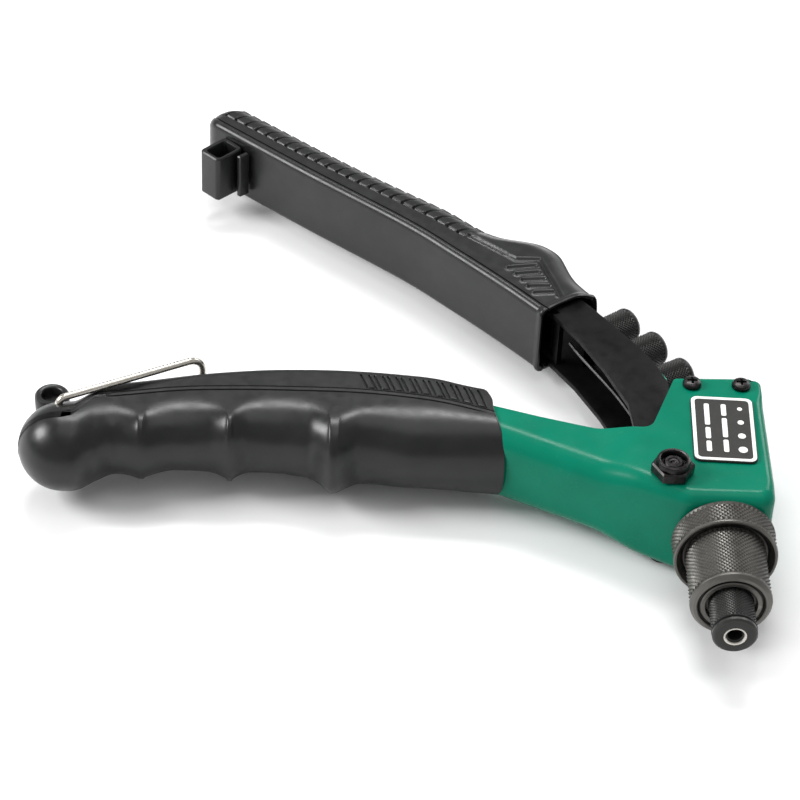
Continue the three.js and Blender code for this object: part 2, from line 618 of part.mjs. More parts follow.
// ---------------------------------------------------------------- wire bail
function wireBail() {
  const { wire: radius, half, hinge, corner } = BAIL;
  const direction = corner.clone().sub(hinge).normalize();
  const at = (reach, z) => {
    const place = hinge.clone().add(direction.clone().multiplyScalar(reach));
    return new THREE.Vector3(place.x, place.y, z);
  };
  const length = corner.distanceTo(hinge);
  const corners = [at(0, half), at(length, half), at(length, -half), at(0, -half)];
  const near = (from, to) => from.clone().add(to.clone().sub(from).setLength(BAIL.bendRadius));
  const path = new THREE.CurvePath();
  let start = at(0, half - BAIL.foot);
  corners.forEach((turn, k) => {
    const next = corners[k + 1] ?? at(0, BAIL.foot - half);
    const [before, after] = [near(turn, start), near(turn, next)];
    path.add(new THREE.LineCurve3(start, before));
    path.add(new THREE.QuadraticBezierCurve3(before, turn, after));
    start = after;
  });
  path.add(new THREE.LineCurve3(start, at(0, BAIL.foot - half)));
  return wire(path, radius, 46, 6);
}

add('fixed_grip', fixedGrip(), BLACK_GRIP);
add('wire_bail', wireBail(), BRIGHT_STEEL);

// ---------------------------------------------------------------- origin
const box = new THREE.Box3().setFromObject(riveter);
const middle = box.getCenter(new THREE.Vector3());
riveter.position.set(-middle.x, -middle.y, -box.min.z);

export default riveter;
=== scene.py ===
"""Looks of a hand riveter that lies on its side with its handles open.

Shapes are written in millimetres about the tool's own datum: x = 0 on the nose axis, y = 0 on the
front face of the head, z = 0 on the middle plane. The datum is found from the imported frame.
"""
import json
import math

import bmesh
import bpy
import numpy as np
from mathutils import Matrix, Vector

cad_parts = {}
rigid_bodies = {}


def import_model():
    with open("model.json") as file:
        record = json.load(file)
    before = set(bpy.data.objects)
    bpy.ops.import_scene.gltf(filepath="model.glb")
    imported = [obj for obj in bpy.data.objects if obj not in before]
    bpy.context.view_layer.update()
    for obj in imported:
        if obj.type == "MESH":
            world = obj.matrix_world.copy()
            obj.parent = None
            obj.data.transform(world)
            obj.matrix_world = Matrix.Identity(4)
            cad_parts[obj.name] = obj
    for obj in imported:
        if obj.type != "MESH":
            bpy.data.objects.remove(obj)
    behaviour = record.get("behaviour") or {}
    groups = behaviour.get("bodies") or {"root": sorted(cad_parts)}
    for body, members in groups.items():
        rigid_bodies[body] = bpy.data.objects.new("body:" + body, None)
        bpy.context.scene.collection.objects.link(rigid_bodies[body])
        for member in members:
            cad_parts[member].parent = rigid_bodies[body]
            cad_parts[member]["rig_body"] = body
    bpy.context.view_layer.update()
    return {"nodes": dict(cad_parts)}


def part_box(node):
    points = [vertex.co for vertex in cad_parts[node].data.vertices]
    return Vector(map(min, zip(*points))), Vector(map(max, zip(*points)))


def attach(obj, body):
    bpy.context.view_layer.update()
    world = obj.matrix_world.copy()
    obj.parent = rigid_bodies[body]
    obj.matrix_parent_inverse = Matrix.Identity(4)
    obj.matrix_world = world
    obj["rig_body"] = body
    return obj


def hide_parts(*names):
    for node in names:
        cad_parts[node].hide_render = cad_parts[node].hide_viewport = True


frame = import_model()

MM = 0.001
GAP = 0.2                     # between the head's front face and the collar ring

collar_low, collar_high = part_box("collar_ring")
DATUM = Vector((
    (collar_low.x + collar_high.x) / 2,
    collar_high.y + GAP * MM,
    (collar_low.z + collar_high.z) / 2,
))


def place(x, y, z=0.0):
    """A point of the tool, in millimetres about the datum, as a point of the frame in metres."""
    return DATUM + Vector((x, y, z)) * MM


# ------------------------------------------------------------------ driving dimensions
HEAD_RIGHT, HEAD_REAR, HEAD_HALF = 14.0, 53.7, 15.2
HANDLE_HALF = 13.0
SHEET = 1.6
PIVOT = (-15.5, 10.5)
HALF_PI = math.pi / 2


# ------------------------------------------------------------------ small maths
def lerp(a, b, t):
    return a + (b - a) * t


def smooth(value, low, high):
    t = min(1.0, max(0.0, (value - low) / (high - low)))
    return t * t * (3 - 2 * t)


def profile(stops):
    """A smooth curve through (place, value) stops, flat before the first and after the last."""
    def at(where):
        if where <= stops[0][0]:
            return stops[0][1]
        for (a, va), (b, vb) in zip(stops, stops[1:]):
            if where <= b:
                return lerp(va, vb, smooth(where, a, b))
        return stops[-1][1]
    return at


def curve(stops):
    """A curve through (place, value) stops without flat spots."""
    places, values = zip(*stops)
    slopes = np.gradient(np.array(values, float), np.array(places, float))

    def at(where):
        if where <= places[0]:
            return values[0]
        if where >= places[-1]:
            return values[-1]
        k = max(i for i, p in enumerate(places) if p <= where)
        span = places[k + 1] - places[k]
        t = (where - places[k]) / span
        return float((2 * t ** 3 - 3 * t ** 2 + 1) * values[k] + (t ** 3 - 2 * t ** 2 + t) * span * slopes[k]
                     + (3 * t ** 2 - 2 * t ** 3) * values[k + 1] + (t ** 3 - t ** 2) * span * slopes[k + 1])
    return at


def squircle(value, power):
    return math.copysign(abs(value) ** (2 / power), value)


def spline(points, count):
    """Evenly spaced points on a smooth curve through the given plan points."""
    pts = [np.array(p, float) for p in points]
    pts = [2 * pts[0] - pts[1], *pts, 2 * pts[-1] - pts[-2]]
    fine = []
    for a, b, c, d in zip(pts, pts[1:], pts[2:], pts[3:]):
        for k in range(40):
            t = k / 40
            fine.append(0.5 * (2 * b + (c - a) * t + (2 * a - 5 * b + 4 * c - d) * t * t
                               + (3 * b - a - 3 * c + d) * t ** 3))
    fine.append(pts[-2])
    return resample(fine, count)


def resample(points, count):
    points = np.array(points, float)
    steps = np.linalg.norm(np.diff(points, axis=0), axis=1)
    reach = np.concatenate([[0], np.cumsum(steps)])
    wanted = np.linspace(0, reach[-1], count)
    return np.stack([np.interp(wanted, reach, points[:, k]) for k in range(points.shape[1])], axis=1)


def rounded(corners, radii, closed=False, steps=8):
    """A plan polyline whose corners are rounded with arcs of the given radii."""
    out = []
    count = len(corners)
    for k, (corner, radius) in enumerate(zip(corners, radii)):
        here = Vector(corner)
        if radius == 0 or (not closed and k in (0, count - 1)):
            out.append(here)
            continue
        before = (Vector(corners[k - 1]) - here).normalized()
        after = (Vector(corners[(k + 1) % count]) - here).normalized()
        half = before.angle(after) / 2
        cut = radius / math.tan(half)
        centre = here + (before + after).normalized() * radius / math.sin(half)
        first = here + before * cut - centre
        turn = math.pi - 2 * half
        if before.x * after.y - before.y * after.x > 0:
            turn = -turn
        for j in range(steps + 1):
            out.append(centre + Matrix.Rotation(turn * j / steps, 2) @ first)
    return [(p.x, p.y) for p in out]


# ------------------------------------------------------------------ mesh building
def mesh_piece(name, points, faces, material, body, nodes=(), flat=False):
    """A mesh from millimetre points about the datum, riding on its body."""
    mesh = bpy.data.meshes.new(name)
    mesh.from_pydata([place(*p) for p in points], [], faces)
    mesh.validate()
    piece = bpy.data.objects.new(name, mesh)
    bpy.context.scene.collection.objects.link(piece)
    clean(piece)
    return dress(piece, material, body, nodes, flat)


def dress(piece, material, body, nodes=(), flat=False):
    piece.data.materials.clear()
    piece.data.materials.append(material)
    if not flat:
        piece.data.shade_smooth()
    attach(piece, body)
    if nodes:
        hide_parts(*nodes)
    return piece


def clean(piece):
    """Merges doubled points, drops empty faces and turns all faces outwards."""
    bm = bmesh.new()
    bm.from_mesh(piece.data)
    bmesh.ops.remove_doubles(bm, verts=bm.verts, dist=1e-6)
    bmesh.ops.dissolve_degenerate(bm, edges=bm.edges, dist=1e-7)
    bmesh.ops.recalc_face_normals(bm, faces=bm.faces)
    bm.to_mesh(piece.data)
    bm.free()


def close_holes(piece):
    """Fills every open rim of a mesh."""
    bm = bmesh.new()
    bm.from_mesh(piece.data)
    bmesh.ops.holes_fill(bm, edges=[edge for edge in bm.edges if edge.is_boundary], sides=0)
    bm.to_mesh(piece.data)
    bm.free()


def skin(rings, capped=True):
    """Points and faces of a skin over closed rings that all have the same number of points."""
    count = len(rings[0])
    points = [tuple(p) for ring in rings for p in ring]
    faces = []
    for r in range(len(rings) - 1):
        for k in range(count):
            a, b = r * count + k, r * count + (k + 1) % count
            faces.append((a, b, b + count, a + count))
    if capped:
        last = (len(rings) - 1) * count
        faces.append(tuple(range(count))[::-1])
        faces.append(tuple(range(last, last + count)))
    return points, faces


def prism(outline, low, high, chamfer=0.4):
    """A plate with chamfered rims: rings of a plan outline from z = low to z = high."""
    inner = inset(outline, chamfer)
    rings = [
        [(x, y, low) for x, y in inner], [(x, y, low + chamfer) for x, y in outline],
        [(x, y, high - chamfer) for x, y in outline], [(x, y, high) for x, y in inner],
    ]
    return skin(rings)


def inset(outline, amount):
    """A closed plan outline moved inwards, whichever way round it runs."""
    pts = np.array(outline, float)
    ahead, behind = np.roll(pts, -1, axis=0), np.roll(pts, 1, axis=0)
    area = np.sum(pts[:, 0] * ahead[:, 1] - ahead[:, 0] * pts[:, 1])
    tangent = ahead - behind
    tangent /= np.maximum(np.linalg.norm(tangent, axis=1, keepdims=True), 1e-9)
    normal = np.stack([-tangent[:, 1], tangent[:, 0]], axis=1) * math.copysign(1, area)
    return [tuple(p) for p in pts + normal * amount]


def modify(piece, kind, **settings):
    """Adds one modifier and applies it."""
    modifier = piece.modifiers.new(kind.title(), kind)
    for key, value in settings.items():
        setattr(modifier, key, value)
    graph = bpy.context.evaluated_depsgraph_get()
    result = bpy.data.meshes.new_from_object(piece.evaluated_get(graph))
    piece.modifiers.clear()
    piece.data = result


def loose(name, points, faces):
    """A solid that rides on nothing yet; cut removes its cutters after use."""
    mesh = bpy.data.meshes.new(name)
    mesh.from_pydata([place(*p) for p in points], [], faces)
    piece = bpy.data.objects.new(name, mesh)
    bpy.context.scene.collection.objects.link(piece)
    clean(piece)
    return piece


def cut(piece, points, faces):
    """Takes the solid with these points and faces away from the piece."""
    tool = loose("cutter", points, faces)
    modify(piece, "BOOLEAN", object=tool, operation="DIFFERENCE", solver="EXACT")
    bpy.data.objects.remove(tool)


def turned_rings(outline, columns):
    """Rings about the nose axis for a list of (radius, y)."""
    angles = [2 * math.pi * k / columns for k in range(columns)]
    return [[(r * math.cos(a), y, r * math.sin(a)) for a in angles] for r, y in outline]


def stood_up(points, centre):
    """Turns a shape made about the nose axis to stand about a vertical axis through centre."""
    return [(centre[0] + x, centre[1] - z, y) for x, y, z in points]


def sharpen(piece, angle=30):
    """Smooth shading that keeps an edge wherever two faces meet at more than the angle."""
    piece.data.shade_smooth()
    piece.data.set_sharp_from_angle(angle=math.radians(angle))


def wire_rings(path, radius, sides=12):
    """Rings of a round wire along a path of points, without twist."""
    path = [Vector(p) for p in path]
    rings = []
    side = None
    for k, point in enumerate(path):
        ahead = path[min(k + 1, len(path) - 1)] - path[max(k - 1, 0)]
        ahead.normalize()
        if side is None:
            side = ahead.orthogonal().normalized()
        side = (side - ahead * side.dot(ahead)).normalized()
        up = ahead.cross(side)
        rings.append([
            tuple(point + side * radius * math.cos(a) + up * radius * math.sin(a))
            for a in (2 * math.pi * j / sides for j in range(sides))
        ])
    return rings


# ------------------------------------------------------------------ materials
class Nodes:
    """A short way to write a material's node tree."""

    def __init__(self, name):
        self.material = bpy.data.materials.new(name)
        self.material.use_nodes = True
        self.tree = self.material.node_tree
        self.shader = self.tree.nodes["Principled BSDF"]
        self.where = self.tree.nodes.new("ShaderNodeTexCoord").outputs["Object"]

    def add(self, kind, inputs=None, **settings):
        node = self.tree.nodes.new(kind)
        for key, value in settings.items():
            setattr(node, key, value)
        for key, value in (inputs or {}).items():
            if isinstance(value, bpy.types.NodeSocket):
                self.tree.links.new(value, node.inputs[key])
            else:
                node.inputs[key].default_value = value
        return node

    def noise(self, size, detail=3.0, roughness=0.5):
        """Noise whose lumps are about size millimetres across."""
        return self.add("ShaderNodeTexNoise", {
            "Vector": self.where, "Scale": 1 / (size * MM), "Detail": detail, "Roughness": roughness,
        }).outputs["Fac"]

    def ramp(self, source, stops):
        node = self.add("ShaderNodeValToRGB", {"Fac": source})
        ramp = node.color_ramp
        while len(ramp.elements) < len(stops):
            ramp.elements.new(0.5)
        for element, (position, color) in zip(ramp.elements, stops):
            element.position = position
            element.color = color if len(color) == 4 else (*color, 1)
        return node.outputs["Color"]

    def grey(self, source, low, high, start=0.35, end=0.65):
        return self.ramp(source, [(start, (low,) * 3), (end, (high,) * 3)])

    def mix(self, factor, first, second):
        node = self.add("ShaderNodeMix", data_type="RGBA")
        for key, value in ((0, factor), (6, first), (7, second)):
            if isinstance(value, bpy.types.NodeSocket):
                self.tree.links.new(value, node.inputs[key])
            else:
                node.inputs[key].default_value = value if key == 0 else (*value, 1)
        return node.outputs[2]

    def edges(self, start, end):
        """Black to white between two values of pointiness: over 0.5 is an edge and under it a hollow."""
        point = self.add("ShaderNodeNewGeometry").outputs["Pointiness"]
        stops = [(start, (0, 0, 0)), (end, (1, 1, 1))]
        return self.ramp(point, sorted(stops, key=lambda stop: stop[0]))

    def finish(self, color, rough, bumps, metallic=0.0, shine=0.5):
        """Joins colour, roughness and (height source, millimetres) bumps to the shader."""
        shader = self.shader
        self.tree.links.new(color, shader.inputs["Base Color"])
        self.tree.links.new(rough, shader.inputs["Roughness"])
        shader.inputs["Metallic"].default_value = metallic
        shader.inputs["Specular IOR Level"].default_value = shine
        normal = None
        for height, depth in bumps:
            inputs = {"Height": height, "Distance": depth * MM, "Strength": 1.0}
            if normal is not None:
                inputs["Normal"] = normal
            normal = self.add("ShaderNodeBump", inputs).outputs["Normal"]
        self.tree.links.new(normal, shader.inputs["Normal"])
        return self.material


def green_enamel():
    n = Nodes("green_enamel")
    base = n.ramp(n.noise(14, 2), [(0.3, (0.0, 0.15, 0.088)), (0.7, (0.0, 0.172, 0.102))])
    # Convex edges and bends are painted a lighter mint: a painted highlight, not wear.
    painted_edge_highlight = n.mix(n.edges(0.56, 0.66), base, (0.004, 0.25, 0.15))
    speck = n.ramp(n.noise(0.9, 6, 0.7), [(0.70, (0, 0, 0)), (0.76, (1, 1, 1))])
    color = n.mix(speck, painted_edge_highlight, (0.001, 0.195, 0.118))
    bumps = [(n.noise(1.6, 2), 0.02), (n.noise(0.3), 0.002)]
    return n.finish(color, n.grey(n.noise(6, 4), 0.2, 0.28), bumps, shine=0.13)


def grip_plastic():
    n = Nodes("grip_plastic")
    base = n.ramp(n.noise(9, 3), [(0.3, (0.0045, 0.0047, 0.005)), (0.7, (0.0085, 0.0087, 0.009))])
    dust = n.ramp(n.noise(0.5, 5, 0.8), [(0.74, (0, 0, 0)), (0.78, (1, 1, 1))])
    color = n.mix(dust, base, (0.08, 0.08, 0.08))
    bumps = [(n.noise(0.35, 2), 0.0016), (n.noise(5, 2), 0.012)]
    return n.finish(color, n.grey(n.noise(3, 5), 0.28, 0.36), bumps, shine=0.4)


def black_paint():
    n = Nodes("black_paint")
    base = n.ramp(n.noise(6, 5, 0.65), [(0.3, (0.003, 0.003, 0.0033)), (0.75, (0.008, 0.0078, 0.008))])
    scratch = n.ramp(n.noise(1.1, 8, 0.8), [(0.68, (0, 0, 0)), (0.74, (1, 1, 1))])
    color = n.mix(scratch, base, (0.03, 0.029, 0.028))
    return n.finish(color, n.grey(n.noise(4, 5), 0.3, 0.45), [(n.noise(0.8, 3), 0.01)], shine=0.1)


def knurled_steel(name, tone):
    n = Nodes(name)
    base = n.ramp(n.noise(4, 4, 0.6), [(0.3, [0.8 * c for c in tone]), (0.7, [1.15 * c for c in tone])])
    # Painted shade darkens the knurl's hollows, and the next mix lightens its crests with a painted highlight.
    hollow = n.edges(0.5, 0.44)
    color = n.mix(hollow, base, [0.3 * c for c in tone])
    color = n.mix(n.edges(0.51, 0.6), color, [min(1, 2.6 * c) for c in tone])
    return n.finish(color, n.grey(n.noise(2, 4), 0.34, 0.48), [(n.noise(0.25, 3), 0.006)], metallic=0.8)


def metal(name, dark, light, low=0.22, high=0.36):
    n = Nodes(name)
    color = n.ramp(n.noise(3, 5, 0.6), [(0.25, dark), (0.75, light)])
    return n.finish(color, n.grey(n.noise(1.5, 4), low, high), [(n.noise(0.5, 3), 0.006)], metallic=1.0)


def plastic(name, dark, light):
    n = Nodes(name)
    color = n.ramp(n.noise(3, 4, 0.6), [(0.25, dark), (0.75, light)])
    return n.finish(color, n.grey(n.noise(2, 4), 0.4, 0.55), [(n.noise(0.4, 3), 0.012)], shine=0.3)


GREEN = green_enamel()
GRIP = grip_plastic()
PAINT = black_paint()
KNURL = knurled_steel("knurled_steel", (0.075, 0.072, 0.066))
KNURL_DARK = knurled_steel("knurled_steel_dark", (0.028, 0.028, 0.027))
OXIDE = metal("black_oxide", (0.02, 0.019, 0.019), (0.045, 0.042, 0.042), 0.24, 0.4)
STEEL = metal("bright_steel", (0.42, 0.4, 0.36), (0.58, 0.56, 0.52))
DARK = metal("dark_steel", (0.07, 0.07, 0.072), (0.12, 0.12, 0.12), 0.3, 0.45)
NICKEL = metal("nickel_wire", (0.5, 0.47, 0.42), (0.66, 0.63, 0.57), 0.18, 0.3)
LABEL = plastic("label_grey", (0.014, 0.0135, 0.0125), (0.022, 0.021, 0.0195))
PRINT = plastic("label_print", (0.72, 0.72, 0.7), (0.84, 0.84, 0.82))
# The holder strip is green paint; its lighter mint colour is a painted highlight.
HIGHLIT_GREEN = plastic("mint_plastic", (0.03, 0.4, 0.25), (0.05, 0.5, 0.32))
COVER = plastic("black_cover", (0.01, 0.01, 0.01), (0.02, 0.02, 0.021))


# ------------------------------------------------------------------ green body shell
def front_line(x):
    """The y of the diagonal front wall."""
    return 1.2 - 0.493 * (x + 14)


def sheet_half(x):
    """Half the thickness across the cheeks: thinner along the handle than on the head."""
    return lerp(HANDLE_HALF, HEAD_HALF, smooth(x, -37, -23))


def bend_radius(x, y):
    """The bend between cheek and wall is wide along the handle and tight round the head."""
    along_front = lerp(6.6, 4.2, smooth(x, -40, -12))
    beside = lerp(2.6, 1.1, smooth(y, 42, 49))
    return lerp(along_front, beside, smooth(y, 1, 9)) if x > 0 else along_front


def body_shell():
    """A channel of sheet steel: two cheeks joined by a wall along the front and up the right side."""
    toe = -11.57                    # where the diagonal meets the front face
    end = -78                       # inside the fixed grip
    front = rounded(
        [(end, front_line(end)), (toe, 0), (HEAD_RIGHT, 0), (HEAD_RIGHT, HEAD_REAR), (10.6, HEAD_REAR)],
        [0, 9, 4.4, 2.2, 0], steps=14,
    )
    rear = rounded(
        [(end, 43.6), (-66.4, 40.4), (-52.4, 35.9), (-36, 31.3), (-20.2, 30), (-12, 52.9), (10.4, HEAD_REAR)],
        [0, 30, 30, 30, 4, 1.5, 0],
    )
    front_stops = [(-27, front_line(-27)), (-12, 0.6), (7, 0), (HEAD_RIGHT, 7), (HEAD_RIGHT, 50.6)]
    rear_stops = [(-27, 30.3), (-13, 50.3), (4, HEAD_REAR), (9.4, HEAD_REAR), (10.2, HEAD_REAR)]
    parts_front, parts_rear = split_at(front, front_stops), split_at(rear, rear_stops)
    counts = [70, 40, 40, 22, 30, 12]
    outer = np.concatenate([resample(p, c)[:-1] for p, c in zip(parts_front, counts)] + [[front[-1]]])
    back = np.concatenate([resample(p, c)[:-1] for p, c in zip(parts_rear, counts)] + [[rear[-1]]])
    tangent = np.gradient(outer, axis=0)
    tangent /= np.linalg.norm(tangent, axis=1, keepdims=True)
    inward = np.stack([-tangent[:, 1], tangent[:, 0]], axis=1)
    rings = []
    for point, normal, far in zip(outer, inward, back):
        radius = bend_radius(*point)
        start = point + normal * radius
        outside = shell_half(far, start, normal, radius, 0)
        inside = shell_half(far, start, normal, radius, SHEET)
        rings.append(outside + [(x, y, -z) for x, y, z in reversed(outside)]
                     + [(x, y, -z) for x, y, z in inside] + inside[::-1])
    shell = loose("green_body", *skin(rings))
    nose_radius, bolt_radius = 10.1, 3.2
    cut(shell, *skin(turned_rings([(nose_radius, -3), (nose_radius, 6)], 64)))
    points, faces = skin(turned_rings([(bolt_radius, -20), (bolt_radius, 20)], 40))
    cut(shell, stood_up(points, PIVOT), faces)
    close_holes(shell)
    sharpen(dress(shell, GREEN, "body", ["body_shell"]), 35)


def shell_half(far, start, normal, radius, depth):
    """Upper half of a section of the shell at a depth below its skin, from the rear edge round the bend."""
    strips, turns, tightest = 18, 10, 0.3
    path = [(*lerp(far, start, k / strips), 0.0) for k in range(strips)]
    small = max(tightest, radius - depth)
    for k in range(turns + 1):
        angle = HALF_PI * k / turns
        path.append((*(start - normal * small * math.sin(angle)), small * (1 - math.cos(angle))))
    return [(x, y, sheet_half(x) - depth - fall) for x, y, fall in path]


def split_at(line, stops):
    """Cuts a polyline into pieces at the points of it that are nearest to the stops."""
    line = resample(line, 900)
    nearest = [int(np.argmin(np.linalg.norm(line - np.array(stop), axis=1))) for stop in stops]
    cuts = [0, *nearest, len(line) - 1]
    return [line[a:b + 1] for a, b in zip(cuts, cuts[1:])]


def label():
    width, length, corner = 18.6, 28.8, 2.2
    turn = Matrix.Rotation(math.radians(-1.7), 2)
    centre = Vector((0.8, 29.6))

    def outline(margin, radius):
        x, y = width / 2 - margin, length / 2 - margin
        ring = rounded([(x, y), (-x, y), (-x, -y), (x, -y)], [radius] * 4, closed=True, steps=6)
        return [tuple(centre + turn @ Vector(p)) for p in ring]

    base, thickness, raised = HEAD_HALF + 0.02, 0.8, 0.1
    points, faces = prism(outline(0, corner), base, base + thickness, 0.2)
    mesh_piece("label_plate_dark", points, faces, LABEL, "body", ["label_plate"], flat=True)
    low, high = base + thickness - 0.02, base + thickness + raised
    border_out, border_in = outline(0.25, corner - 0.25), outline(1.3, corner - 1)
    rings = [
        [(x, y, low) for x, y in border_out], [(x, y, high) for x, y in border_out],
        [(x, y, high) for x, y in border_in], [(x, y, low) for x, y in border_in],
    ]
    rings.append(rings[0])
    points, faces = skin(rings, capped=False)
    for shape in label_marks():
        ring = [tuple(centre + turn @ Vector(p)) for p in shape]
        more, sides = skin([[(x, y, low) for x, y in ring], [(x, y, high) for x, y in ring]])
        faces += [tuple(i + len(points) for i in side) for side in sides]
        points += more
    mesh_piece("label_border_and_marks", points, faces, PRINT, "body", flat=True)


def label_marks():
    """Plain marks: dots that grow like the rivet sizes the tool takes, and two rows of bars."""
    marks = []
    for k, radius in enumerate((0.75, 0.95, 1.15, 1.35)):
        middle = (5.2, 9.2 - 6.1 * k)
        marks.append([
            (middle[0] + radius * math.cos(a), middle[1] + radius * math.sin(a))
            for a in (2 * math.pi * j / 20 for j in range(20))
        ])
    for column, lengths in ((0.4, (5.2, 8.6, 5.4)), (-4.6, (9.6, 5.0, 4.6))):
        top, half_width, gap = 11.0, 0.75, 1.1
        for length in lengths:
            middle = (column, top - length / 2)
            corners = [(middle[0] + dx, middle[1] + dy) for dx, dy in corners_of(half_width, length / 2)]
            marks.append(rounded(corners, [0.5] * 4, closed=True, steps=4))
            top -= length + gap
    return marks


def pivot_parts():
    across = 11 / math.sqrt(3)
    hexagon = rounded(
        [(PIVOT[0] + across * math.cos(k * math.pi / 3), PIVOT[1] + across * math.sin(k * math.pi / 3))
         for k in range(6)], [0.5] * 6, closed=True, steps=3)
    points, faces = prism(hexagon, 15.28, 18.7, 0.45)
    mesh_piece("pivot_nut_hex", points, faces, OXIDE, "body", ["pivot_nut"], flat=True)
    collar = [(4.95, 18.4), (4.95, 19.8), (4.7, 20.3), (4.2, 20.5), (3.85, 20.4), (3.6, 20.0), (3.5, 19.0),
              (3.3, 18.2)]
    points, faces = skin(turned_rings(collar, 64), capped=False)
    sharpen(mesh_piece("pivot_nut_collar", stood_up(points, PIVOT), faces, OXIDE, "body"))
    bolt = [(0.02, 18.6), (0.6, 18.7), (0.9, 19.1), (1.5, 19.15), (1.7, 19.5), (2.5, 19.5), (2.95, 19.1),
            (2.95, 14), (2.95, -15.2), (3.9, -15.25), (4.2, -15.5), (4.2, -16.3), (3.8, -17.0), (3.2, -17.2),
            (0.02, -17.2)]
    points, faces = skin(turned_rings(bolt, 64))
    points = stood_up(points, PIVOT)
    sharpen(mesh_piece("pivot_bolt_round_head", points, faces, OXIDE, "body", ["pivot_bolt"]))


def cover_screws():
    row = 50.2
    dome = [(0.02, 6), (1.45, 6), (1.45, 15.2), (2.75, 15.22), (2.85, 15.5), (2.8, 16.1), (2.45, 16.7),
            (1.8, 17.02), (0.9, 17.15), (0.02, 17.18)]
    for side_name in ("upper", "lower"):
        for k, x in enumerate((-6.9, 7.8)):
            node = f"cover_screw_{side_name}_{k + 1}"
            points, faces = skin(turned_rings(dome, 40))
            screw = loose(node + "_pan", stood_up(points, (x, row)), faces)
            for half_sizes in ((0.42, 1.75), (1.75, 0.42)):
                deep = [(x + dx / 2, row + dy / 2, 15.7) for dx, dy in corners_of(*half_sizes)]
                rim = [(x + dx, row + dy, 17.6) for dx, dy in corners_of(*half_sizes)]
                cut(screw, *skin([deep, rim]))
            if side_name == "lower":
                for vertex in screw.data.vertices:
                    vertex.co.z = 2 * DATUM.z - vertex.co.z
                screw.data.flip_normals()
            sharpen(dress(screw, OXIDE, "body", [node]))


def corners_of(half_x, half_y):
    return [(half_x, half_y), (-half_x, half_y), (-half_x, -half_y), (half_x, -half_y)]


def rear_plug():
    corners = [(-10.6, 45.4), (11.3, 45.4), (11.3, 52.4), (-10.6, 52.4)]
    outline = rounded(corners, [0.5, 0.5, 1.8, 1.2], closed=True)
    plug = loose("rear_cover_plug", *prism(outline, -13.1, 13.1, 0.6))
    hole_radius = 4.3
    cut(plug, *skin(turned_rings([(hole_radius, 40), (hole_radius, 60)], 48)))
    left, right, floor, half_width = -9, 10, 51.9, 0.6
    for middle in (-9.5, 9.5):
        low, high = middle - half_width, middle + half_width
        bottom = [(left, floor, low), (right, floor, low), (right, floor, high), (left, floor, high)]
        mouth = [(x, floor + 1.1, z) for x, _, z in bottom]
        cut(plug, *skin([bottom, mouth]))
    sharpen(dress(plug, COVER, "body", ["rear_cover"]))
    tube = [(3.1, 36), (3.1, 51.8), (3.4, 52.2), (3.7, 52.2), (3.9, 51.9), (3.9, 36), (3.1, 36)]
    points, faces = skin(turned_rings(tube, 48), capped=False)
    sharpen(mesh_piece("mandrel_tube_steel", points, faces, STEEL, "body", ["mandrel_tube"]))


# ------------------------------------------------------------------ knurled nose
def knurled(name, before, zone, after, material, body, node, matrix=None):
    """A turned piece with a diamond knurl between two plain profiles of (radius, y).

    zone is (radius, y start, y end, pitch, depth). On a grid of half a pitch the points whose row
    and column add up to an even number are pressed in, so that the grooves run along diagonals.
    """
    radius, start, end, pitch, depth = zone
    columns = 2 * round(2 * math.pi * radius / pitch)
    rows = max(4, 2 * round(abs(end - start) / pitch))
    outline = [*before, *[(radius, lerp(start, end, k / rows)) for k in range(rows + 1)], *after]
    rings = turned_rings(outline, columns)
    first = len(before)
    for r in range(rows + 1):
        pressed_in = depth if 0 < r < rows else 0.0
        for c in range(r % 2, columns, 2):
            x, y, z = rings[first + r][c]
            shrink = 1 - pressed_in / radius
            rings[first + r][c] = (x * shrink, y, z * shrink)
    points, faces = skin(rings, capped=False)
    sides = []
    for face in faces:
        a, b, c, d = face
        row, column = a // columns - first, a % columns
        if 0 <= row < rows:
            pressed = (row + column) % 2 == 0
            sides += [(a, b, c), (a, c, d)] if pressed else [(b, c, d), (b, d, a)]
        else:
            sides.append(face)
    if matrix is not None:
        points = [tuple(matrix @ Vector(p)) for p in points]
    sharpen(mesh_piece(name, points, sides, material, body, [node]), 24)


